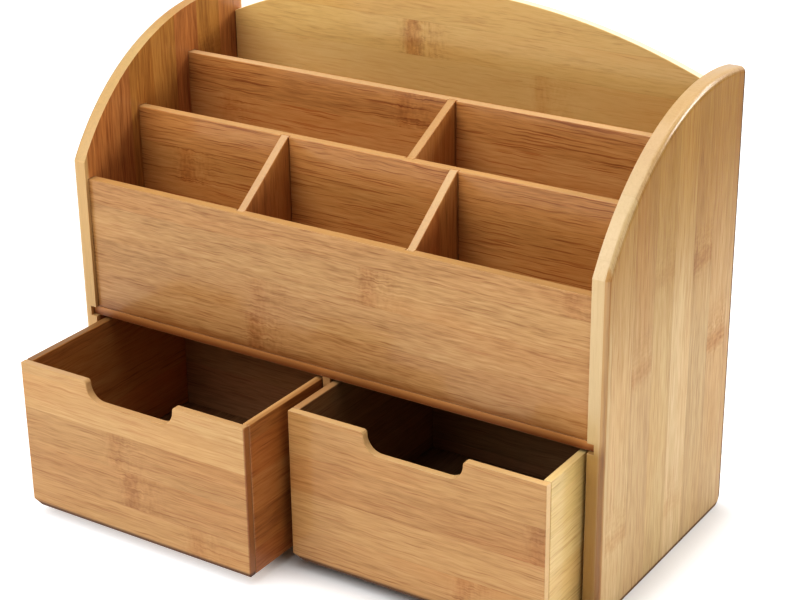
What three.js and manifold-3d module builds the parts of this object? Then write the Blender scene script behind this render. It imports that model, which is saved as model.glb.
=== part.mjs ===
// A bamboo desk organizer: thin glued boards make six open compartments above two drawers.
//
// Units are millimetres. x runs from left to right, y from front to back and z up. The origin is
// at the centre of the carcass's underside. Inside the carcass group, y is the depth behind the
// front edge of the side panels.

import * as THREE from 'three';
import { mergeVertices } from 'three/addons/utils/BufferGeometryUtils.js';
import Module from 'manifold-3d';

// Carcass
const WIDTH = 330;
const DEPTH = 146;
const SIDE_THICKNESS = 9;
const PARTITION_THICKNESS = 6;
const DIVIDER_THICKNESS = 4.8;
const SHELF_THICKNESS = 5;
const BASE_THICKNESS = 6;
const BACK_THICKNESS = 5.5;
const BACK_INSET = 1.5;
const SHELF_UNDERSIDE = 95;
const FRONT_INSET = 2.5;

// Joints between boards
const JOINT_GAP = 0.3;
const SIDE_GROOVE = 3.7;
const BOARD_GROOVE = 2;
const CUT_OVERRUN = 1;
const OUTLINE_OVERRUN = 20;

// Side panel outline: a straight front edge, then an arc that rises towards the back
const SIDE_ARC_RADIUS = 140.6;
const SIDE_ARC_DEPTH = 120.7;
const SIDE_ARC_HEIGHT = 114.4;
const SIDE_FOOT_RADIUS = 6;
const SIDE_ROUNDOVER = 3.2;
const SIDE_CURVE_SEGMENTS = 48;
const SIDE_FOOT_SEGMENTS = 6;
const ROUNDOVER_SEGMENTS = 6;

// Arched back panel
const ARCH_RADIUS = 391.3;
const ARCH_CROWN = 272.2;
const ARCH_SEGMENTS = 20;

// Boards across the carcass, from the front: depth of the front face and height of the top
const FRONT_PANEL = { depth: FRONT_INSET, top: 176.2 };
const MIDDLE_PARTITION = { depth: 48.5, top: 205.5 };
const REAR_PARTITION = { depth: 94.5, top: 225.4 };

// Dividers: x of their middle planes
const FRONT_DIVIDER_LEFT_X = -55.3;
const FRONT_DIVIDER_RIGHT_X = 50.7;
const MIDDLE_DIVIDER_X = 21.4;
const BAY_DIVIDER_THICKNESS = 5;
const BAY_DIVIDER_INSET = 3;
const BAY_DIVIDER_GROOVE = 1.5;

// Drawers
const DRAWER_WIDTH = 150.8;
const DRAWER_DEPTH = 136;
const DRAWER_HEIGHT = 86.5;
const DRAWER_WALL = 4.5;
const DRAWER_BOTTOM_THICKNESS = 3;
const DRAWER_BOTTOM_RAISE = 4;
const DRAWER_GAP_BELOW = 0.5;
const DRAWER_GAP_TO_DIVIDER = 0.6;
const DRAWER_LEFT_PULL = 67.2;
const DRAWER_RIGHT_PULL = 38.6;

// Finger notch in the top edge of a drawer front, and the cut lower left corner of that board
const NOTCH_WIDTH = 58;
const NOTCH_DEPTH = 11.5;
const NOTCH_INNER_RADIUS = 9;
const NOTCH_LIP_RADIUS = 2;
const NOTCH_SEGMENTS = 5;
const CORNER_CUT_WIDTH = 6;
const CORNER_CUT_HEIGHT = 2.4;

// Lengths that follow from the driving dimensions
const INNER_HALF = WIDTH / 2 - SIDE_THICKNESS;
const SHELF_TOP = SHELF_UNDERSIDE + SHELF_THICKNESS;
const BACK_DEPTH = DEPTH - BACK_INSET - BACK_THICKNESS;
const GROOVED_HALF = INNER_HALF + SIDE_GROOVE - JOINT_GAP;
const COMPARTMENT_FLOOR = SHELF_TOP + JOINT_GAP;
const REAR_LIMIT = BACK_DEPTH - JOINT_GAP;
const OUTLINE_TOP = SIDE_ARC_HEIGHT + SIDE_ARC_RADIUS + OUTLINE_OVERRUN;
const DRAWER_CENTRE_X = BAY_DIVIDER_THICKNESS / 2 + DRAWER_GAP_TO_DIVIDER + DRAWER_WIDTH / 2;

const wasm = await Module();
wasm.setup();

const wood = (color, roughness) => new THREE.MeshStandardMaterial({ color, roughness, metalness: 0 });
const MATERIALS = {
  side: wood(0xd6ac78, 0.5),
  panel: wood(0xc08e5a, 0.5),
  partition: wood(0xb98245, 0.5),
  divider: wood(0xc4935a, 0.5),
  drawerFront: wood(0xcc9a66, 0.5),
  drawerWall: wood(0xc89858, 0.55),
};

const around = (middle, width) => [middle - width / 2, middle + width / 2];
const widened = ([low, high], gap) => [low - gap, high + gap];
const ordered = (a, b) => [Math.min(a, b), Math.max(a, b)];

// A rectangular board between [low, high] limits along each axis.
function board(x, y, z) {
  const geometry = new THREE.BoxGeometry(x[1] - x[0], y[1] - y[0], z[1] - z[0]);
  geometry.translate((x[0] + x[1]) / 2, (y[0] + y[1]) / 2, (z[0] + z[1]) / 2);
  return geometry;
}

// A board whose outline is drawn over depth and height, and which is as thick as its x limits.
function boardAcross(outline, x, options = {}) {
  const settings = { depth: x[1] - x[0], bevelEnabled: false, ...options };
  const geometry = new THREE.ExtrudeGeometry(outline, settings);
  const toCarcass = new THREE.Matrix4().makeBasis(
    new THREE.Vector3(0, 1, 0),
    new THREE.Vector3(0, 0, 1),
    new THREE.Vector3(1, 0, 0),
  );
  geometry.applyMatrix4(toCarcass);
  geometry.translate(x[0], 0, 0);
  return geometry;
}

// A board whose outline is drawn over x and height, and which is as thick as its y limits.
function boardFacingFront(outline, y, curveSegments) {
  const settings = { depth: y[1] - y[0], bevelEnabled: false, curveSegments };
  const geometry = new THREE.ExtrudeGeometry(outline, settings);
  geometry.rotateX(Math.PI / 2);
  geometry.translate(0, y[1], 0);
  return geometry;
}

function toSolid(geometry) {
  const bare = geometry.clone();
  bare.deleteAttribute('normal');
  bare.deleteAttribute('uv');
  const merged = mergeVertices(bare);
  const vertProperties = Float32Array.from(merged.attributes.position.array);
  const triVerts = Uint32Array.from(merged.index.array);
  return new wasm.Manifold(new wasm.Mesh({ numProp: 3, vertProperties, triVerts }));
}

function toGeometry(solid) {
  const { vertProperties, triVerts } = solid.getMesh();
  const indexed = new THREE.BufferGeometry();
  indexed.setAttribute('position', new THREE.Float32BufferAttribute(vertProperties, 3));
  indexed.setIndex(new THREE.Uint32BufferAttribute(triVerts, 1));
  const geometry = indexed.toNonIndexed();
  geometry.computeVertexNormals();
  return geometry;
}

// The solid with each cutter's space removed from it.
function cutAway(solid, cutters) {
  return cutters.reduce((rest, cutter) => rest.subtract(toSolid(cutter)), solid);
}

function grooved(geometry, cutters) {
  return toGeometry(cutAway(toSolid(geometry), cutters));
}

function addPiece(parent, name, geometry, material) {
  const piece = new THREE.Mesh(geometry, material);
  piece.name = name;
  parent.add(piece);
  return piece;
}

// The side panel as deep as it gets and higher than it gets, with its two rounded feet.
function standingOutline() {
  const foot = SIDE_FOOT_RADIUS;
  const outline = new THREE.Shape();
  outline.absarc(foot, foot, foot, Math.PI, 1.5 * Math.PI, false);
  outline.absarc(DEPTH - foot, foot, foot, 1.5 * Math.PI, 2 * Math.PI, false);
  outline.lineTo(DEPTH, OUTLINE_TOP);
  outline.lineTo(0, OUTLINE_TOP);
  return outline;
}

// A rectangle with the side panel's front edge, which reaches beyond its other edges.
function frontEdgeOutline() {
  const rear = DEPTH + OUTLINE_OVERRUN;
  const outline = new THREE.Shape();
  outline.moveTo(0, -OUTLINE_OVERRUN);
  outline.lineTo(rear, -OUTLINE_OVERRUN);
  outline.lineTo(rear, OUTLINE_TOP);
  outline.lineTo(0, OUTLINE_TOP);
  return outline;
}

// The arc at the top of the side panel, over a rectangle that reaches beyond its other edges.
function arcOutline() {
  const outline = new THREE.Shape();
  outline.absarc(SIDE_ARC_DEPTH, SIDE_ARC_HEIGHT, SIDE_ARC_RADIUS, 0, Math.PI, false);
  outline.lineTo(SIDE_ARC_DEPTH - SIDE_ARC_RADIUS, -OUTLINE_OVERRUN);
  outline.lineTo(SIDE_ARC_DEPTH + SIDE_ARC_RADIUS, -OUTLINE_OVERRUN);
  return outline;
}

// side is -1 on the left and 1 on the right. On the outer face, the front edge and the arc are
// rounded over, and the two roundovers meet in a mitre. The other edges are crisp. The inner face
// has grooves for the shelf, the front panel and the two partitions.
function sidePanel(side) {
  const outerFlat = side * (WIDTH / 2 - SIDE_ROUNDOVER);
  const roundedX = ordered(outerFlat - side * SIDE_THICKNESS, outerFlat);
  const roundover = {
    bevelEnabled: true,
    bevelThickness: SIDE_ROUNDOVER,
    bevelSize: SIDE_ROUNDOVER,
    bevelOffset: -SIDE_ROUNDOVER,
    bevelSegments: ROUNDOVER_SEGMENTS,
    curveSegments: SIDE_CURVE_SEGMENTS,
  };
  const frontRounded = toSolid(boardAcross(frontEdgeOutline(), roundedX, roundover));
  const arched = toSolid(boardAcross(arcOutline(), roundedX, roundover));
  const standingX = ordered(side * INNER_HALF, side * (WIDTH / 2 + CUT_OVERRUN));
  const feet = { curveSegments: SIDE_FOOT_SEGMENTS };
  const standing = toSolid(boardAcross(standingOutline(), standingX, feet));
  const blank = standing.intersect(frontRounded).intersect(arched);
  const grooveX = ordered(side * (INNER_HALF - CUT_OVERRUN), side * (INNER_HALF + SIDE_GROOVE));
  const shelfGroove = board(
    grooveX,
    [-CUT_OVERRUN, BACK_DEPTH],
    widened([SHELF_UNDERSIDE, SHELF_TOP], JOINT_GAP),
  );
  const partitionGrooves = [FRONT_PANEL, MIDDLE_PARTITION, REAR_PARTITION].map(({ depth, top }) => {
    const y = widened([depth, depth + PARTITION_THICKNESS], JOINT_GAP);
    return board(grooveX, y, [SHELF_TOP, top + JOINT_GAP]);
  });
  return toGeometry(cutAway(blank, [shelfGroove, ...partitionGrooves]));
}

function backPanel() {
  const half = INNER_HALF - JOINT_GAP;
  const centreHeight = ARCH_CROWN - ARCH_RADIUS;
  const halfAngle = Math.asin(half / ARCH_RADIUS);
  const outline = new THREE.Shape();
  outline.moveTo(-half, 0);
  outline.lineTo(half, 0);
  outline.absarc(0, centreHeight, ARCH_RADIUS, Math.PI / 2 - halfAngle, Math.PI / 2 + halfAngle, false);
  return boardFacingFront(outline, [BACK_DEPTH, BACK_DEPTH + BACK_THICKNESS], ARCH_SEGMENTS);
}

// A board across the carcass that stands on the shelf, with its front face at y = 0. Each groove
// takes the end of one divider: x is its middle plane, and facesFront says which face it is in.
function crossBoard({ top }, grooves) {
  const blank = board([-GROOVED_HALF, GROOVED_HALF], [0, PARTITION_THICKNESS], [COMPARTMENT_FLOOR, top]);
  const cutters = grooves.map(({ x, facesFront }) => {
    const y = facesFront
      ? [-CUT_OVERRUN, BOARD_GROOVE]
      : [PARTITION_THICKNESS - BOARD_GROOVE, PARTITION_THICKNESS + CUT_OVERRUN];
    const z = widened([COMPARTMENT_FLOOR, top], CUT_OVERRUN);
    return board(widened(around(x, DIVIDER_THICKNESS), JOINT_GAP), y, z);
  });
  return grooved(blank, cutters);
}

// A divider between two cross boards, centred on x = 0. Its top slopes from one board's top edge
// to the other's, and its ends stand in their grooves.
function slopedDivider(front, rear) {
  const frontFace = front.depth + PARTITION_THICKNESS;
  const tongue = BOARD_GROOVE - JOINT_GAP;
  const outline = new THREE.Shape();
  outline.moveTo(frontFace - tongue, COMPARTMENT_FLOOR);
  outline.lineTo(rear.depth + tongue, COMPARTMENT_FLOOR);
  outline.lineTo(rear.depth + tongue, rear.top);
  outline.lineTo(rear.depth, rear.top);
  outline.lineTo(frontFace, front.top);
  outline.lineTo(frontFace - tongue, front.top);
  return boardAcross(outline, around(0, DIVIDER_THICKNESS));
}

const bayDividerGrooveX = widened(around(0, BAY_DIVIDER_THICKNESS), JOINT_GAP);
const bayDividerGrooveY = [BAY_DIVIDER_INSET - JOINT_GAP, BACK_DEPTH];

// The floor of the compartments and roof of the drawer bays.
function shelf() {
  const acrossX = [-GROOVED_HALF, GROOVED_HALF];
  const blank = board(acrossX, [FRONT_INSET, REAR_LIMIT], [SHELF_UNDERSIDE, SHELF_TOP]);
  const grooveZ = [SHELF_UNDERSIDE - CUT_OVERRUN, SHELF_UNDERSIDE + BAY_DIVIDER_GROOVE];
  return grooved(blank, [board(bayDividerGrooveX, bayDividerGrooveY, grooveZ)]);
}

function basePanel() {
  const half = INNER_HALF - JOINT_GAP;
  const blank = board([-half, half], [FRONT_INSET, REAR_LIMIT], [0, BASE_THICKNESS]);
  const grooveZ = [BASE_THICKNESS - BAY_DIVIDER_GROOVE, BASE_THICKNESS + CUT_OVERRUN];
  return grooved(blank, [board(bayDividerGrooveX, bayDividerGrooveY, grooveZ)]);
}

function bayDivider() {
  const tongue = BAY_DIVIDER_GROOVE - JOINT_GAP;
  const z = widened([BASE_THICKNESS, SHELF_UNDERSIDE], tongue);
  return board(around(0, BAY_DIVIDER_THICKNESS), [BAY_DIVIDER_INSET, REAR_LIMIT], z);
}

// The pieces of a drawer are drawn around x = 0, behind a front face at y = 0 and above z = 0.
const drawerHalf = DRAWER_WIDTH / 2;
const drawerInnerHalf = drawerHalf - DRAWER_WALL;
const drawerTongue = BOARD_GROOVE - JOINT_GAP;
const drawerBottomZ = [DRAWER_BOTTOM_RAISE, DRAWER_BOTTOM_RAISE + DRAWER_BOTTOM_THICKNESS];
const drawerBottomGrooveZ = widened(drawerBottomZ, JOINT_GAP);

// The finger notch has wide concave corners at its floor and small rounded lips at the top edge.
function drawerFrontOutline() {
  const half = NOTCH_WIDTH / 2;
  const floor = DRAWER_HEIGHT - NOTCH_DEPTH;
  const lipHeight = DRAWER_HEIGHT - NOTCH_LIP_RADIUS;
  const lipX = half + NOTCH_LIP_RADIUS;
  const innerX = half - NOTCH_INNER_RADIUS;
  const innerHeight = floor + NOTCH_INNER_RADIUS;
  const quarter = Math.PI / 2;
  const outline = new THREE.Shape();
  outline.moveTo(-drawerHalf, CORNER_CUT_HEIGHT);
  outline.lineTo(-drawerHalf + CORNER_CUT_WIDTH, 0);
  outline.lineTo(drawerHalf, 0);
  outline.lineTo(drawerHalf, DRAWER_HEIGHT);
  outline.absarc(lipX, lipHeight, NOTCH_LIP_RADIUS, quarter, 2 * quarter, false);
  outline.absarc(innerX, innerHeight, NOTCH_INNER_RADIUS, 0, -quarter, true);
  outline.absarc(-innerX, innerHeight, NOTCH_INNER_RADIUS, -quarter, -2 * quarter, true);
  outline.absarc(-lipX, lipHeight, NOTCH_LIP_RADIUS, 0, quarter, false);
  outline.lineTo(-drawerHalf, DRAWER_HEIGHT);
  return outline;
}

// The front board covers the ends of the side walls, so its groove stops short of its own ends.
function drawerFront() {
  const blank = boardFacingFront(drawerFrontOutline(), [0, DRAWER_WALL], NOTCH_SEGMENTS);
  const grooveX = widened([-drawerInnerHalf, drawerInnerHalf], BOARD_GROOVE);
  const grooveY = [DRAWER_WALL - BOARD_GROOVE, DRAWER_WALL + CUT_OVERRUN];
  return grooved(blank, [board(grooveX, grooveY, drawerBottomGrooveZ)]);
}

function drawerSideWall(side) {
  const y = [DRAWER_WALL + JOINT_GAP, DRAWER_DEPTH];
  const blank = board(ordered(side * drawerInnerHalf, side * drawerHalf), y, [0, DRAWER_HEIGHT]);
  const innerFace = side * drawerInnerHalf;
  const grooveX = ordered(innerFace - side * CUT_OVERRUN, innerFace + side * BOARD_GROOVE);
  return grooved(blank, [board(grooveX, widened(y, CUT_OVERRUN), drawerBottomGrooveZ)]);
}

function drawerBack() {
  const half = drawerInnerHalf - JOINT_GAP;
  const face = DRAWER_DEPTH - DRAWER_WALL;
  const blank = board([-half, half], [face, DRAWER_DEPTH], [0, DRAWER_HEIGHT]);
  const grooveX = widened([-half, half], CUT_OVERRUN);
  return grooved(blank, [board(grooveX, [face - CUT_OVERRUN, face + BOARD_GROOVE], drawerBottomGrooveZ)]);
}

function drawerBottom() {
  const x = widened([-drawerInnerHalf, drawerInnerHalf], drawerTongue);
  const y = widened([DRAWER_WALL, DRAWER_DEPTH - DRAWER_WALL], drawerTongue);
  return board(x, y, drawerBottomZ);
}

// pull is how far the front face stands out from the closed place, flush with the front panel.
function drawer(name, side, pull) {
  const group = new THREE.Group();
  addPiece(group, `${name}_front`, drawerFront(), MATERIALS.drawerFront);
  addPiece(group, `${name}_wall_left`, drawerSideWall(-1), MATERIALS.drawerWall);
  addPiece(group, `${name}_wall_right`, drawerSideWall(1), MATERIALS.drawerWall);
  addPiece(group, `${name}_back`, drawerBack(), MATERIALS.drawerWall);
  addPiece(group, `${name}_bottom`, drawerBottom(), MATERIALS.drawerWall);
  group.position.set(side * DRAWER_CENTRE_X, FRONT_INSET - pull, BASE_THICKNESS + DRAWER_GAP_BELOW);
  return group;
}

function carcass() {
  const group = new THREE.Group();
  addPiece(group, 'side_panel_left', sidePanel(-1), MATERIALS.side);
  addPiece(group, 'side_panel_right', sidePanel(1), MATERIALS.side);
  addPiece(group, 'back_panel', backPanel(), MATERIALS.panel);
  addPiece(group, 'compartment_floor', shelf(), MATERIALS.partition);
  addPiece(group, 'base_panel', basePanel(), MATERIALS.partition);
  addPiece(group, 'drawer_bay_divider', bayDivider(), MATERIALS.divider);

  const frontDividers = [FRONT_DIVIDER_LEFT_X, FRONT_DIVIDER_RIGHT_X];
  const frontGrooves = frontDividers.map((x) => ({ x, facesFront: false }));
  const middleGrooves = [
    ...frontDividers.map((x) => ({ x, facesFront: true })),
    { x: MIDDLE_DIVIDER_X, facesFront: false },
  ];
  const rearGrooves = [{ x: MIDDLE_DIVIDER_X, facesFront: true }];
  const crossBoards = [
    ['front_panel', FRONT_PANEL, frontGrooves, MATERIALS.panel],
    ['middle_partition', MIDDLE_PARTITION, middleGrooves, MATERIALS.partition],
    ['rear_partition', REAR_PARTITION, rearGrooves, MATERIALS.partition],
  ];
  for (const [name, place, grooves, material] of crossBoards) {
    addPiece(group, name, crossBoard(place, grooves), material).position.y = place.depth;
  }

  const dividers = [
    ['front_divider_left', FRONT_PANEL, MIDDLE_PARTITION, FRONT_DIVIDER_LEFT_X],
    ['front_divider_right', FRONT_PANEL, MIDDLE_PARTITION, FRONT_DIVIDER_RIGHT_X],
    ['middle_divider', MIDDLE_PARTITION, REAR_PARTITION, MIDDLE_DIVIDER_X],
  ];
  for (const [name, front, rear, x] of dividers) {
    addPiece(group, name, slopedDivider(front, rear), MATERIALS.divider).position.x = x;
  }
  return group;
}

const organizer = new THREE.Group();
const assembly = new THREE.Group();
assembly.position.y = -DEPTH / 2;
assembly.add(
  carcass(),
  drawer('drawer_left', -1, DRAWER_LEFT_PULL),
  drawer('drawer_right', 1, DRAWER_RIGHT_PULL),
);
organizer.add(assembly);

export default organizer;
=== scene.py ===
"""A bamboo desk organizer in a white studio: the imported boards, with lacquered bamboo on each."""

import math
from dataclasses import dataclass

import bpy
from mathutils import Matrix, Vector

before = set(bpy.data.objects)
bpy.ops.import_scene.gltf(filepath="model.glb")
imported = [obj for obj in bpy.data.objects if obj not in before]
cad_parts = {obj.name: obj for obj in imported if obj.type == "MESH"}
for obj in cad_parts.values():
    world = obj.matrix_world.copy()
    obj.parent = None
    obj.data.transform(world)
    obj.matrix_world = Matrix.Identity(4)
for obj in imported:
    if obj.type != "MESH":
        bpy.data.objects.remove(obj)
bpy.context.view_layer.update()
MM = 0.001

# ------------------------------------------------------------------------------ the camera
# Angles are in degrees, the lens and the sensor in mm
CAMERA_TARGET = Vector((18.2, -25.8, 126.8)) * MM
CAMERA_DISTANCE = 1025.9 * MM
CAMERA_AZIMUTH = 33.18
CAMERA_ELEVATION = 23.61
CAMERA_ROLL = -0.72
CAMERA_LENS = 86.72
SENSOR_WIDTH = 36.0
CAMERA_CLIP = (0.05, 30.0)

# ------------------------------------------------------------------------------ the studio
FLOOR_HALF = 8.0
FLOOR_GREYS = (0.84, 0.88)
FLOOR_ROUGHNESS = 0.9
FLOOR_SPECULAR = 0.1

# The floor glows a little beyond the organizer's footprint, so that only its contact shadow shows
FLOOR_GLOW = 0.4
GLOW_DISTANCE = 30 * MM
FOOTPRINT_MIDDLE = (0.0, -20 * MM, 0.0)
FOOTPRINT_HALF = (165 * MM, 80 * MM, 0.0)

# The room's brightness in front of the object and behind it, and the directions between which it
# changes, as the Y part of a unit vector
WORLD_FRONT = 0.14
WORLD_BACK = 0.6
WORLD_CHANGE = (-0.2, 0.7)

# Soft lights: name, position and size in metres, power in watts
SOFT_BOXES = (
    ("overhead", (-0.1, -0.1, 1.4), (1.4, 1.2), 11),
    ("front_left", (-0.7, -1.25, 1.3), (1.5, 1.1), 16),
    ("rear_right", (1.0, 1.05, 1.05), (0.9, 0.45), 14),
)

# ------------------------------------------------------------------------------ finish of the boards
# Angles are in degrees
ARRIS_SEGMENTS = 3
ARRIS_ANGLE = 35
WELD_DISTANCE = 0.005 * MM
FLAT_ANGLE = 0.3

# Lacquer and bare wood
LACQUER_IOR = 1.5
SPECULAR_LEVEL = 0.5
FACE_COAT_ROUGHNESS = 0.15
EDGE_COAT_ROUGHNESS = 0.22
WOOD_ROUGHNESS = (0.46, 0.36)
PORE_ROUGHNESS = 0.12
MARK_ROUGHNESS = 0.08
FIBRE_RANGE = (0.3, 0.7)
BUMP_STRENGTH = 0.3
BUMP_DISTANCE = 0.12 * MM
FINE_RELIEF = 0.25
PORE_RELIEF = -0.6
GLUE_RELIEF = -0.5

# The pale line along a sharp arris, partly wear and partly a painted highlight, found where a
# normal rounded by this radius differs from the true one: the range is of their dot product
ARRIS_RADIUS = 0.8 * MM
ARRIS_SAMPLES = 4
ARRIS_RANGE = (0.97, 0.80)
ARRIS_WEAR_AND_HIGHLIGHT = 0.2
ARRIS_COLOUR = "F3D29C"

# Tints that multiply the wood's colour, and their largest shares: of a red and of a yellow strip,
# of the cloudy patches, of the node marks and of the veins
RED_TINT = "F2B49C"
YELLOW_TINT = "DEE6A8"
STRIP_TINT_SHARE = 0.5
CLOUD_TINT = "F4CE9C"
CLOUD_RANGE = (0.45, 0.75)
CLOUD_TINT_SHARE = 0.35
MARK_TINT = "E4AE74"
MARK_TINT_SHARE = 0.5
VEIN_TINT = "D89070"

# Where a board's dark, middle and light wood lie on its scale of tone, and how much darker pores,
# veins, node marks and glue lines are on it
TONE_STOPS = (0.08, 0.5, 0.92)
PORE_DEPTH = 0.10
VEIN_DEPTH = 0.35
MARK_DEPTH = 0.16
DASH_DEPTH = 0.8
DASH_MIDDLE = 0.53
GLUE_DEPTH = 0.07

# Half the width of a glue line in mm, and in metres the shift of the pattern from strip to strip
GLUE_LINE = 0.3
STRIP_SHIFT = 0.37

# How far apart two boards' seeds put their random strips, and their fibres through the thickness
STRIP_SEED = 7.31
DEPTH_SEED = 3.0

# Where a node mark begins and ends along the grain, from its darkest place, and how far it wobbles,
# in mm, with the wobbles per metre. Along its length, from 0 to 1, go the darkness of its band and
# the share of troubled fibres around it
MARK_START = -12.0
MARK_END = 28.0
MARK_WOBBLE = 6.0
MARK_WAVES = 300.0
MARK_BAND = ((0.0, 0.0), (0.14, 0.1), (0.24, 0.9), (0.36, 0.8), (0.48, 0.15), (0.6, 0.25), (0.97, 0.0))
MARK_ZONE = ((0.0, 0.0), (0.15, 0.7), (0.3, 1.0), (0.6, 0.7), (0.97, 0.0))

# How square to the board's thickness a surface is, from 0 on a cut edge to 1 on a face, for the
# pale wood of the cut edges, the lacquer on the edges, and both sides of a rounded turn
RIM_RANGE = (0.85, 0.35)
RIM_SHARE = 0.7
EDGE_RANGE = (0.98, 0.80)
TURN_FROM_EDGE = (0.10, 0.35)
TURN_FROM_FACE = (0.995, 0.93)


@dataclass
class Pattern:
    """A noise in the wood: its changes per metre along the grain and across it."""

    along: float
    across: float
    detail: float = 1.0
    roughness: float = 0.55


# Streaks that follow the fibres. Pores and veins show where their noise is within a range, and the
# other four change the tone by their gains
BROAD = Pattern(6.0, 110.0)
FIBRES = Pattern(26.0, 620.0, 2.0, 0.6)
SHORT = Pattern(80.0, 900.0)
FINE = Pattern(60.0, 2400.0)
PORES, PORE_RANGE = Pattern(85.0, 1500.0), (0.60, 0.74)
VEINS, VEIN_RANGE = Pattern(24.0, 1100.0), (0.57, 0.68)
BROAD_GAIN, FIBRES_GAIN, SHORT_GAIN, FINE_GAIN = 0.34, 0.50, 0.42, 0.20

# Patches on the straight board: the fibres' slow bends, their short ripples and the swirls around
# node marks, each with its reach in mm, then the dashes in those marks and the cloudy patches
BEND, BEND_REACH = Pattern(9.0, 25.0, roughness=0.5), 4.0
RIPPLE, RIPPLE_REACH = Pattern(75.0, 130.0, roughness=0.5), 1.6
SWIRL, SWIRL_REACH = Pattern(250.0, 300.0, roughness=0.5), 7.0
DASHES = Pattern(520.0, 210.0, roughness=0.5)
CLOUD, CLOUD_GAIN = Pattern(7.0, 22.0, roughness=0.5), 0.20


# ------------------------------------------------------------------------------ material nodes
class Nodes:
    """Short calls for building a material's nodes."""

    def __init__(self, tree):
        self.tree = tree
        tree.nodes.clear()

    def set(self, socket, value):
        if isinstance(value, bpy.types.NodeSocket):
            self.tree.links.new(value, socket)
        else:
            socket.default_value = value

    def add(self, kind, inputs=None, **settings):
        node = self.tree.nodes.new(kind)
        for key, value in settings.items():
            setattr(node, key, value)
        for key, value in (inputs or {}).items():
            self.set(node.inputs[key], value)
        return node

    def math(self, operation, a, b=0.0, c=0.0, clamp=False):
        node = self.add("ShaderNodeMath", {0: a, 1: b, 2: c}, operation=operation, use_clamp=clamp)
        return node.outputs[0]

    def vector_math(self, operation, a, b=(0.0, 0.0, 0.0)):
        return self.add("ShaderNodeVectorMath", {0: a, 1: b}, operation=operation).outputs

    def centred(self, value, middle=0.5):
        """The distance of a value from its middle."""
        return self.math("SUBTRACT", value, middle)

    def noise(self, x, y, z=0.0, detail=1.0, roughness=0.5):
        vector = self.add("ShaderNodeCombineXYZ", {0: x, 1: y, 2: z}).outputs[0]
        inputs = {"Vector": vector, "Scale": 1.0, "Detail": detail, "Roughness": roughness}
        return self.add("ShaderNodeTexNoise", inputs).outputs[0]

    def remap(self, value, source, target=(0.0, 1.0), kind="LINEAR"):
        inputs = {"Value": value, 1: source[0], 2: source[1], 3: target[0], 4: target[1]}
        return self.add("ShaderNodeMapRange", inputs, interpolation_type=kind).outputs[0]

    def ramp(self, value, stops):
        node = self.add("ShaderNodeValToRGB", {0: value})
        elements = node.color_ramp.elements
        while len(elements) < len(stops):
            elements.new(0.5)
        for element, (position, colour) in zip(elements, stops):
            element.position = position
            element.color = (*colour, 1.0)
        return node.outputs[0]

    def mix(self, factor, a, b, blend="MIX"):
        node = self.add("ShaderNodeMix", data_type="RGBA", blend_type=blend)
        for index, value in ((0, factor), (6, a), (7, b)):
            self.set(node.inputs[index], (*value, 1.0) if isinstance(value, tuple) else value)
        return node.outputs[2]

    def tint(self, factor, colour, hex_tint):
        """Multiplies a colour by a tint, as far as the factor says."""
        return self.mix(factor, colour, linear(hex_tint), "MULTIPLY")


def grey(value):
    return (value, value, value)


def linear(hex_colour):
    """The linear colour of an sRGB hex value."""
    parts = [int(hex_colour[i : i + 2], 16) / 255 for i in (0, 2, 4)]
    return tuple(c / 12.92 if c <= 0.04045 else ((c + 0.055) / 1.055) ** 2.4 for c in parts)


def new_material(name):
    material = bpy.data.materials.new(name)
    material.use_nodes = True
    return material, Nodes(material.node_tree)


# ------------------------------------------------------------------------------ bamboo
@dataclass
class Fade:
    """A slow change of tone: its axis, where along it in mm it starts and is full, and its tint.

    where is "faces", the cut "edges", the rounded "turns" between them or "all".
    """

    axis: str
    start: float
    full: float
    hex_tint: str
    where: str


@dataclass
class Board:
    """How the bamboo runs in one board. Lengths are in mm.

    grain and strips are the axes that the fibres and the row of glued strips run along.
    tones are its dark, middle and light wood, and seed moves its pattern.
    shades gives each strip from first_joint on a lightness and a redness, about -1 to 1, and without
    it they are random. shade_gain is how much the lightness counts.
    marks are node marks: their place along the grain, their place across it and their strength.
    flow shortens the fibres, and veins is how strong the dark red lines between them are.
    rim is the colour of the cut edges, and arris the radius of the sanded ones.
    fades are slow changes of tone along the board, many of them painted shade and one painted light.
    gloss is the weight of the lacquer on the faces, and edge_gloss that on the edges.
    contrast is the depth of the fibres' tones, and seams the darkness of the glue lines.
    painted_light_strip is painted light on a face that lies in shade, as pale as the cut edges: an axis,
    and where that starts and is full.
    """

    grain: str
    strips: str
    tones: tuple
    seed: float
    strip_width: float = 21.0
    first_joint: float = 0.0
    shade_gain: float = 0.10
    shades: tuple = ()
    marks: tuple = ()
    flow: float = 1.0
    veins: float = 0.2
    rim: str = "DDB27C"
    arris: float = 0.6
    fades: tuple = ()
    gloss: float = 0.4
    edge_gloss: float = 0.3
    contrast: float = 0.85
    seams: float = 1.0
    painted_light_strip: tuple = ()

    @property
    def thickness(self):
        """The axis across the board's faces."""
        return ({"X", "Y", "Z"} - {self.grain, self.strips}).pop()


AXES = {"X": 0, "Y": 1, "Z": 2}


def strip_shade(nodes, board, strip):
    """Lightness and redness of the strip that a point is in, each about -1 to 1."""
    if not board.shades:
        inputs = {"W": nodes.math("ADD", strip, board.seed * STRIP_SEED)}
        chance = nodes.add("ShaderNodeTexWhiteNoise", inputs, noise_dimensions="1D")
        parts = nodes.add("ShaderNodeSeparateXYZ", {0: chance.outputs["Color"]}).outputs
        return nodes.math("MULTIPLY_ADD", parts[0], 2.0, -1.0), nodes.centred(parts[1])
    lightness, redness = 0.0, 0.0
    for number, (light, red) in enumerate(board.shades):
        here = nodes.math("COMPARE", strip, float(number), 0.5)
        lightness = nodes.math("MULTIPLY_ADD", here, light, lightness)
        redness = nodes.math("MULTIPLY_ADD", here, red, redness)
    return lightness, redness


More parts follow.
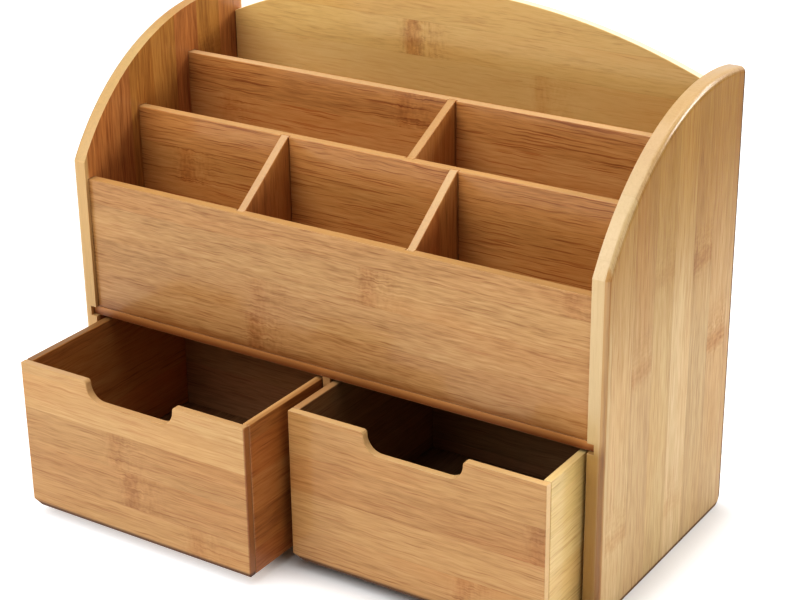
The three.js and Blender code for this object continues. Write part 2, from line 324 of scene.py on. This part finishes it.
def node_marks(nodes, board, along, across, strip):
    """The dark band of the node marks, and the wider zone of troubled fibres around them."""
    if not board.marks:
        return 0.0, 0.0
    wobble = nodes.noise(nodes.math("MULTIPLY", across, MARK_WAVES), board.seed, detail=2.0)
    straight = nodes.math("SUBTRACT", along, MARK_WOBBLE / 2 * MM)
    shifted = nodes.math("MULTIPLY_ADD", wobble, MARK_WOBBLE * MM, straight)
    middle = (MARK_START + MARK_END) / 2 * MM
    half = (MARK_END - MARK_START) / 2 * MM
    place, strength = 0.0, 0.0
    for mark_along, mark_across, power in board.marks:
        number = math.floor((mark_across - board.first_joint) / board.strip_width)
        offset = nodes.math("SUBTRACT", shifted, mark_along * MM)
        near = nodes.math("COMPARE", offset, middle, half)
        inside = nodes.math("MULTIPLY", near, nodes.math("COMPARE", strip, float(number), 0.5))
        share = nodes.math("MULTIPLY_ADD", offset, 0.5 / half, 0.5 - 0.5 * middle / half)
        place = nodes.math("MULTIPLY_ADD", share, inside, place)
        strength = nodes.math("MULTIPLY_ADD", inside, power, strength)
    band = nodes.ramp(place, [(stop, grey(value)) for stop, value in MARK_BAND])
    zone = nodes.ramp(place, [(stop, grey(value)) for stop, value in MARK_ZONE])
    return nodes.math("MULTIPLY", band, strength), nodes.math("MULTIPLY", zone, strength)


class Grain:
    """The strips, fibres, pores, veins and node marks of one board."""

    def __init__(self, nodes, board, axes):
        along, across = axes[AXES[board.grain]], axes[AXES[board.strips]]
        self.nodes, self.board, self.across = nodes, board, across
        self.through = axes[AXES[board.thickness]]

        # The number of the glued strip that a point is in, and its place across that strip
        per_metre = 1 / (board.strip_width * MM)
        numbered = nodes.math("MULTIPLY_ADD", across, per_metre, -board.first_joint / board.strip_width)
        strip, strip_place = nodes.math("FLOOR", numbered), nodes.math("FRACT", numbered)
        self.lightness, self.redness = strip_shade(nodes, board, strip)
        self.own_along = nodes.math("MULTIPLY_ADD", strip, STRIP_SHIFT, along)
        self.band, self.zone = node_marks(nodes, board, along, across, strip)
        joint_distance = nodes.math("MINIMUM", strip_place, nodes.math("SUBTRACT", 1.0, strip_place))
        glue_half = GLUE_LINE / board.strip_width
        self.glue = nodes.remap(joint_distance, (0.0, glue_half), (1.0, 0.0), "SMOOTHSTEP")

        # Fibres bend in slow waves and in short ripples, and swirl around the marks
        bend = nodes.math("MULTIPLY", nodes.centred(self.patches(BEND)), BEND_REACH * MM)
        ripple = nodes.math("MULTIPLY", nodes.centred(self.patches(RIPPLE)), RIPPLE_REACH * MM)
        swirl = nodes.math("MULTIPLY", nodes.centred(self.patches(SWIRL)), self.zone)
        waves = nodes.math("ADD", nodes.math("ADD", across, bend), ripple)
        self.bent = nodes.math("MULTIPLY_ADD", swirl, SWIRL_REACH * MM, waves)

        self.broad = self.streaks(BROAD, board.flow)
        self.fibres = self.streaks(FIBRES, board.flow)
        self.short = self.streaks(SHORT, board.flow)
        self.fine = self.streaks(FINE)
        self.pores = nodes.remap(self.streaks(PORES), PORE_RANGE, kind="SMOOTHSTEP")
        self.veins = nodes.remap(self.streaks(VEINS, board.flow), VEIN_RANGE, kind="SMOOTHSTEP")
        self.dashes = self.patches(DASHES)
        self.cloud = self.patches(CLOUD)

    def patches(self, pattern):
        """A noise on the straight board."""
        x = self.nodes.math("MULTIPLY", self.own_along, pattern.along)
        y = self.nodes.math("MULTIPLY", self.across, pattern.across)
        return self.nodes.noise(x, y, self.board.seed, pattern.detail, pattern.roughness)

    def streaks(self, pattern, flow=1.0):
        """A noise that is drawn out along the bent fibres, all through the board."""
        x = self.nodes.math("MULTIPLY", self.own_along, pattern.along * flow)
        y = self.nodes.math("MULTIPLY", self.bent, pattern.across)
        z = self.nodes.math("MULTIPLY_ADD", self.through, pattern.across, self.board.seed * DEPTH_SEED)
        return self.nodes.noise(x, y, z, pattern.detail, pattern.roughness)


def wood_colour(nodes, board, grain):
    """The wood's tone as a sum of its parts, and the colour at that tone."""
    tone = nodes.math("MULTIPLY_ADD", grain.lightness, board.shade_gain, 0.5)
    for streak, gain in (
        (grain.broad, BROAD_GAIN),
        (grain.fibres, FIBRES_GAIN),
        (grain.short, SHORT_GAIN),
        (grain.fine, FINE_GAIN),
        (grain.cloud, CLOUD_GAIN),
    ):
        tone = nodes.math("MULTIPLY_ADD", nodes.centred(streak), gain * board.contrast, tone)
    tone = nodes.math("MULTIPLY_ADD", grain.pores, -PORE_DEPTH, tone)
    tone = nodes.math("MULTIPLY_ADD", grain.veins, -VEIN_DEPTH * board.veins, tone)
    dash_shade = nodes.math("MULTIPLY", nodes.centred(grain.dashes, DASH_MIDDLE), grain.zone)
    tone = nodes.math("MULTIPLY_ADD", dash_shade, DASH_DEPTH, tone)
    tone = nodes.math("MULTIPLY_ADD", grain.band, -MARK_DEPTH, tone)
    tone = nodes.math("MULTIPLY_ADD", grain.glue, -GLUE_DEPTH * board.seams, tone, clamp=True)

    colour = nodes.ramp(tone, [(stop, linear(c)) for stop, c in zip(TONE_STOPS, board.tones)])
    red = nodes.remap(grain.redness, (0.0, 1.0), (0.0, STRIP_TINT_SHARE))
    colour = nodes.tint(red, colour, RED_TINT)
    yellow = nodes.remap(grain.redness, (0.0, -1.0), (0.0, STRIP_TINT_SHARE))
    colour = nodes.tint(yellow, colour, YELLOW_TINT)
    cloudy = nodes.remap(grain.cloud, CLOUD_RANGE, (0.0, CLOUD_TINT_SHARE))
    colour = nodes.tint(cloudy, colour, CLOUD_TINT)
    colour = nodes.tint(nodes.math("MULTIPLY", grain.band, MARK_TINT_SHARE), colour, MARK_TINT)
    return nodes.tint(nodes.math("MULTIPLY", grain.veins, board.veins), colour, VEIN_TINT)


def edge_tones(nodes, board, colour, axes, square, edge):
    """Adds the pale cut edges, painted light on a shaded strip, slow changes of tone (many of them
    painted shade) and arrises paled by wear and a painted highlight.
    """
    rim = nodes.remap(square, RIM_RANGE)
    # Painted light: a strip of face that lies in shade is made as pale as the cut edges
    if board.painted_light_strip:
        axis, start, full = board.painted_light_strip
        rim = nodes.math("MAXIMUM", rim, nodes.remap(axes[AXES[axis]], (start * MM, full * MM)))
    colour = nodes.mix(nodes.math("MULTIPLY", rim, RIM_SHARE), colour, linear(board.rim))

    face = nodes.math("SUBTRACT", 1.0, edge)
    off_edge, off_face = nodes.remap(square, TURN_FROM_EDGE), nodes.remap(square, TURN_FROM_FACE)
    turn = nodes.math("MULTIPLY", off_edge, off_face)
    parts = {"edges": edge, "faces": face, "turns": turn, "all": 1.0}
    for fade in board.fades:
        ends = (fade.start * MM, fade.full * MM)
        share = nodes.remap(axes[AXES[fade.axis]], ends, kind="SMOOTHSTEP")
        colour = nodes.tint(nodes.math("MULTIPLY", share, parts[fade.where]), colour, fade.hex_tint)

    # Painted highlight and wear: the arrises grow paler towards ARRIS_COLOUR
    rounded = nodes.add("ShaderNodeBevel", {"Radius": ARRIS_RADIUS}, samples=ARRIS_SAMPLES).outputs[0]
    true_normal = nodes.add("ShaderNodeNewGeometry").outputs["Normal"]
    alike = nodes.vector_math("DOT_PRODUCT", rounded, true_normal)["Value"]
    wear_and_highlight = nodes.math("MULTIPLY", nodes.remap(alike, ARRIS_RANGE), ARRIS_WEAR_AND_HIGHLIGHT)
    return nodes.mix(wear_and_highlight, colour, linear(ARRIS_COLOUR))


def bamboo(name, board):
    """Lacquered bamboo: glued strips of differing tone, fibres along the grain, pores and node marks."""
    material, nodes = new_material(name)
    coordinates = nodes.add("ShaderNodeTexCoord").outputs
    axes = nodes.add("ShaderNodeSeparateXYZ", {0: coordinates["Object"]}).outputs
    facing = nodes.add("ShaderNodeSeparateXYZ", {0: coordinates["Normal"]}).outputs
    square = nodes.math("ABSOLUTE", facing[AXES[board.thickness]])
    edge = nodes.remap(square, EDGE_RANGE)
    grain = Grain(nodes, board, axes)
    colour = edge_tones(nodes, board, wood_colour(nodes, board, grain), axes, square, edge)

    roughness = nodes.remap(grain.fibres, FIBRE_RANGE, WOOD_ROUGHNESS)
    roughness = nodes.math("MULTIPLY_ADD", grain.pores, PORE_ROUGHNESS, roughness)
    roughness = nodes.math("MULTIPLY_ADD", grain.zone, MARK_ROUGHNESS, roughness)
    height = nodes.math("MULTIPLY_ADD", grain.fine, FINE_RELIEF, grain.fibres)
    height = nodes.math("MULTIPLY_ADD", grain.pores, PORE_RELIEF, height)
    height = nodes.math("MULTIPLY_ADD", grain.glue, GLUE_RELIEF, height)
    relief = {"Strength": BUMP_STRENGTH, "Distance": BUMP_DISTANCE, "Height": height}
    bump = nodes.add("ShaderNodeBump", relief)

    shader = nodes.add(
        "ShaderNodeBsdfPrincipled",
        {
            "Base Color": colour,
            "Roughness": roughness,
            "Normal": bump.outputs[0],
            "IOR": LACQUER_IOR,
            "Specular IOR Level": SPECULAR_LEVEL * board.gloss,
            "Coat Weight": nodes.remap(edge, (0.0, 1.0), (board.gloss, board.edge_gloss)),
            "Coat Roughness": nodes.remap(edge, (0.0, 1.0), (FACE_COAT_ROUGHNESS, EDGE_COAT_ROUGHNESS)),
        },
    )
    nodes.add("ShaderNodeOutputMaterial", {"Surface": shader.outputs[0]})
    return material


# ------------------------------------------------------------------------------ the boards
PALE = ("9C7A54", "C2A477", "DBC299")
HONEY = ("8E6030", "BD905A", "D4AC76")
AMBER = ("B2844C", "E7C17B", "F6DA9C")
RUSSET = ("86502A", "C98D51", "E0AE74")
# Painted shade: a darker, greyer copy of the pale wood for the drawers' insides, which lie in shade
SHADED_HONEY = ("684C32", "A6825C", "C8A47C")
LEMON = ("B08E52", "D8B97B", "E6CA92")

BOARDS = {
    "side_panel_left": Board(
        "Z",
        "Y",
        RUSSET,
        seed=1.3,
        strip_width=20.6,
        first_joint=-72.5,
        shade_gain=0.22,
        shades=(
            (-0.7, 0.2),
            (-0.7, 0.2),
            (-0.5, -1.4),
            (-0.2, -1.6),
            (-0.6, 0.5),
            (-0.1, -1.2),
            (-0.4, 0.3),
        ),
        marks=((215, 40, 0.5),),
        rim="D1B27A",
        arris=1.2,
        fades=(Fade("Y", -20, 15, "ECDCC4", "edges"),),
        # Painted light: the inner face beside the front panel, which lies in shade, made as pale as the
        # cut edges
        painted_light_strip=("Y", -69.8, -71.0),
    ),
    "side_panel_right": Board(
        "Z",
        "Y",
        PALE,
        seed=2.1,
        strip_width=22.3,
        first_joint=-90.1,
        shade_gain=0.15,
        shades=((0.5, 0), (0.4, 0), (-0.2, 0.1), (0.1, -0.2), (0.9, 0), (-0.4, 0), (0, 0.1), (0, 0.3)),
        marks=(
            (168, -12, 0.3),
            (162, 32, 0.6),
            (125, -32, 0.4),
            (108, 53, 0.7),
            (41, -53, 0.4),
            (30, 12, 0.2),
        ),
        rim="D8BA88",
        arris=1.0,
        fades=(
            # Painted shade: the face darker and yellower towards the top, paler low down where the floor
            # lights it
            Fade("Z", 100, 240, "CBAF60", "faces"),
            # Painted shade: the front edge darker low down, beside the drawers that shade it
            Fade("Z", 104, 92, "CEBB95", "edges"),
            Fade("Y", -50, -20, "F2E6D6", "edges"),
            Fade("Y", -68.5, -70.5, "EED8BC", "turns"),
            # Painted shadow: a dark line along the foot, where the panel meets the floor
            Fade("Z", 2.2, 0.8, "8A6E50", "all"),
            Fade("Y", 71.0, 72.6, "6E5234", "faces"),
        ),
        gloss=0.1,
        edge_gloss=1.0,
        seams=2.5,
    ),
    "back_panel": Board(
        "X",
        "Z",
        AMBER,
        seed=3.4,
        strip_width=20.0,
        first_joint=191.3,
        shade_gain=0.12,
        # The lower strips paler: partly their own tone, partly painted light where the rear partition
        # shades them
        shades=((0.9, 0.3), (0.7, 0.1), (0, 0), (-0.1, -0.1)),
        marks=((-31, 241, 0.9), (52, 225, 0.4)),
        flow=1.4,
        veins=0.1,
        rim="FFF0D0",
        # Painted light: the face tinted darker from its left end rightwards, leaving the left end paler
        # against the left side panel's shadow
        fades=(Fade("X", -120, -30, "EEE8E0", "faces"),),
        contrast=0.55,
        seams=1.6,
    ),
    "front_panel": Board(
        "X",
        "Z",
        HONEY,
        seed=4.2,
        strip_width=20.6,
        first_joint=101.0,
        shade_gain=0.07,
        shades=((0.9, 0.3), (0.1, 0.1), (0.2, 0), (-0.8, 0.1)),
        marks=((28, 154, 0.5), (-45, 112, 0.6), (-42, 131, 0.3), (145, 167, 0.3)),
        flow=1.3,
        rim="BD9159",
        arris=0.12,
        # Painted shade: the face darker towards its bottom edge, above the shelf
        fades=(Fade("Z", 106.5, 100, "D4BCA4", "all"),),
        contrast=1.2,
    ),
    "middle_partition": Board(
        "X",
        "Z",
        RUSSET,
        seed=5.7,
        strip_width=20.0,
        first_joint=106.0,
        marks=((-124, 175, 0.5),),
        veins=0.4,
        rim="C89F69",
    ),
    "rear_partition": Board(
        "X",
        "Z",
        RUSSET,
        seed=6.6,
        strip_width=20.0,
        first_joint=105.0,
        marks=((-8, 213, 0.4), (-128, 197, 0.3)),
        veins=0.4,
        rim="D8B485",
    ),
    "compartment_floor": Board(
        "X",
        "Y",
        RUSSET,
        seed=7.9,
        rim="C68A50",
        arris=0.12,
        # Painted shade: the front edge darker towards the bottom
        fades=(Fade("Z", 99.8, 95.2, "A88C7C", "edges"),),
    ),
    "base_panel": Board("X", "Y", HONEY, seed=8.4),
    "drawer_bay_divider": Board("Y", "Z", HONEY, seed=9.2, rim="C89A68"),
    "front_divider_left": Board("Z", "Y", RUSSET, seed=10.1, rim="D1AE84"),
    "front_divider_right": Board("Z", "Y", RUSSET, seed=11.8, rim="D5B486"),
    "middle_divider": Board("Z", "Y", RUSSET, seed=12.5, rim="BF955F"),
    "drawer_left_front": Board(
        "X",
        "Z",
        HONEY,
        seed=13.3,
        first_joint=3.5,
        shade_gain=0.20,
        shades=((0.1, 0), (-0.25, 0.1), (-0.25, 0), (1.0, -0.1), (1.0, -0.1)),
        marks=((-90, 57, 0.4), (-81, 36, 0.5), (-38, 19, 0.4)),
        rim="C8A172",
        arris=1.4,
        # Painted shade: the right end darker where it lies in shade between the drawers, and the bottom
        # edge darker where shade falls under it
        fades=(Fade("X", -4.4, -3.2, "C6A489", "all"), Fade("Z", 9.5, 7.5, "806A56", "all")),
    ),
    "drawer_right_front": Board(
        "X",
        "Z",
        HONEY,
        seed=14.6,
        first_joint=6.0,
        shade_gain=0.08,
        shades=((0.1, 0.1), (0.3, 0), (-1.5, 0.1), (-0.2, 0), (-0.2, 0)),
        marks=((150, 57, 0.4), (108, 22, 0.5)),
        rim="E0BC86",
        arris=1.4,
        # Painted shade: the bottom edge darker where shade falls under it
        fades=(Fade("Z", 9.5, 7.5, "806A56", "all"),),
    ),
    "drawer_left_wall_left": Board("Y", "Z", RUSSET, seed=15.4, rim="7E5E3A"),
    "drawer_left_wall_right": Board(
        "Y",
        "Z",
        RUSSET,
        seed=16.5,
        rim="D7AE77",
        # Painted shade: the outer face darker, where it lies in shade between the drawers
        fades=(Fade("X", -6.5, -4.5, "D8C8B8", "all"),),
    ),
    "drawer_left_back": Board("X", "Z", SHADED_HONEY, seed=17.6),
    "drawer_left_bottom": Board("Y", "X", SHADED_HONEY, seed=18.7),
    "drawer_right_wall_left": Board("Y", "Z", SHADED_HONEY, seed=19.7, rim="BE9060"),
    "drawer_right_wall_right": Board(
        "Y",
        "Z",
        LEMON,
        seed=20.8,
        shades=((0.2, 0.1), (-0.3, 0), (0.3, 0), (0, -0.2), (0, -0.2)),
        rim="E4C68C",
    ),
    "drawer_right_back": Board("X", "Z", SHADED_HONEY, seed=21.9),
    "drawer_right_bottom": Board("Y", "X", SHADED_HONEY, seed=23.0),
}


def ease_edges(piece, radius):
    """Joins the mesh's loose facets and rounds its arrises a little, as sanding does."""
    weld = piece.modifiers.new("weld", "WELD")
    weld.merge_threshold = WELD_DISTANCE
    flatten = piece.modifiers.new("flat_faces", "DECIMATE")
    flatten.decimate_type = "DISSOLVE"
    flatten.angle_limit = math.radians(FLAT_ANGLE)
    arris = piece.modifiers.new("arris", "BEVEL")
    arris.width = radius * MM
    arris.segments = ARRIS_SEGMENTS
    arris.limit_method = "ANGLE"
    arris.angle_limit = math.radians(ARRIS_ANGLE)
    arris.use_clamp_overlap = True
    arris.harden_normals = True


# ------------------------------------------------------------------------------ studio and camera
def in_scene(name, data):
    """A new object in the scene that holds the data."""
    made = bpy.data.objects.new(name, data)
    bpy.context.scene.collection.objects.link(made)
    return made


def white_floor():
    """A pale floor whose glow ends at the organizer's footprint."""
    mesh = bpy.data.meshes.new("studio_floor")
    corners = [(x * FLOOR_HALF, y * FLOOR_HALF, 0) for x, y in ((-1, -1), (1, -1), (1, 1), (-1, 1))]
    mesh.from_pydata(corners, [], [(0, 1, 2, 3)])
    floor = in_scene("studio_floor", mesh)
    material, nodes = new_material("studio_white")
    position = nodes.add("ShaderNodeTexCoord").outputs["Object"]
    place = nodes.add("ShaderNodeSeparateXYZ", {0: position}).outputs
    away = nodes.vector_math("SUBTRACT", position, FOOTPRINT_MIDDLE)[0]
    away = nodes.vector_math("ABSOLUTE", away)[0]
    away = nodes.vector_math("SUBTRACT", away, FOOTPRINT_HALF)[0]
    away = nodes.vector_math("MAXIMUM", away)[0]
    distance = nodes.vector_math("LENGTH", away)["Value"]
    glow = nodes.remap(distance, (0.0, GLOW_DISTANCE), (0.0, FLOOR_GLOW), "SMOOTHSTEP")
    clouds = nodes.noise(place[0], place[1], detail=2.0)
    shader = nodes.add(
        "ShaderNodeBsdfPrincipled",
        {
            "Base Color": nodes.ramp(clouds, list(zip((0.0, 1.0), map(grey, FLOOR_GREYS)))),
            "Roughness": FLOOR_ROUGHNESS,
            "Specular IOR Level": FLOOR_SPECULAR,
            "Emission Color": (1.0, 1.0, 1.0, 1.0),
            "Emission Strength": glow,
        },
    )
    nodes.add("ShaderNodeOutputMaterial", {"Surface": shader.outputs[0]})
    mesh.materials.append(material)


def soft_box(name, position, size, power):
    """A soft light that looks at the middle of the object."""
    data = bpy.data.lights.new(name, "AREA")
    data.shape = "RECTANGLE"
    data.size, data.size_y = size
    data.energy = power
    light = in_scene(name, data)
    light.location = position
    light.rotation_mode = "QUATERNION"
    light.rotation_quaternion = (CAMERA_TARGET - Vector(position)).to_track_quat("-Z", "Y")


def studio_world():
    """A pale room that is brighter behind the object than in front of it."""
    world = bpy.data.worlds.new("studio_world")
    world.use_nodes = True
    nodes = Nodes(world.node_tree)
    generated = nodes.add("ShaderNodeTexCoord").outputs["Generated"]
    direction = nodes.add("ShaderNodeSeparateXYZ", {0: generated}).outputs
    strength = nodes.remap(direction[1], WORLD_CHANGE, (WORLD_FRONT, WORLD_BACK), "SMOOTHSTEP")
    light = {"Color": (1.0, 1.0, 1.0, 1.0), "Strength": strength}
    background = nodes.add("ShaderNodeBackground", light)
    nodes.add("ShaderNodeOutputWorld", {"Surface": background.outputs[0]})
    bpy.context.scene.world = world


def make_camera():
    azimuth, elevation, roll = (math.radians(a) for a in (CAMERA_AZIMUTH, CAMERA_ELEVATION, CAMERA_ROLL))
    level = Vector((math.sin(azimuth), -math.cos(azimuth), 0.0))
    back = level * math.cos(elevation) + Vector((0, 0, math.sin(elevation)))
    right = (-back).cross(Vector((0, 0, 1))).normalized()
    up = back.cross(right)
    rolled_right = math.cos(roll) * right + math.sin(roll) * up
    rolled_up = -math.sin(roll) * right + math.cos(roll) * up
    data = bpy.data.cameras.new("camera")
    data.sensor_width = SENSOR_WIDTH
    data.lens = CAMERA_LENS
    data.clip_start, data.clip_end = CAMERA_CLIP
    camera = in_scene("camera", data)
    rotation = Matrix((rolled_right, rolled_up, back)).transposed().to_4x4()
    camera.matrix_world = Matrix.Translation(CAMERA_TARGET + back * CAMERA_DISTANCE) @ rotation
    bpy.context.scene.camera = camera


# ------------------------------------------------------------------------------ the scene
for name, board in BOARDS.items():
    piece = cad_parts[name]
    piece.data.materials.clear()
    piece.data.materials.append(bamboo(f"bamboo_{name}", board))
    ease_edges(piece, board.arris)

white_floor()
studio_world()
for soft_light in SOFT_BOXES:
    soft_box(*soft_light)
make_camera()
bpy.context.scene.view_settings.view_transform = "Standard"
bpy.context.scene.view_settings.look = "Medium High Contrast"
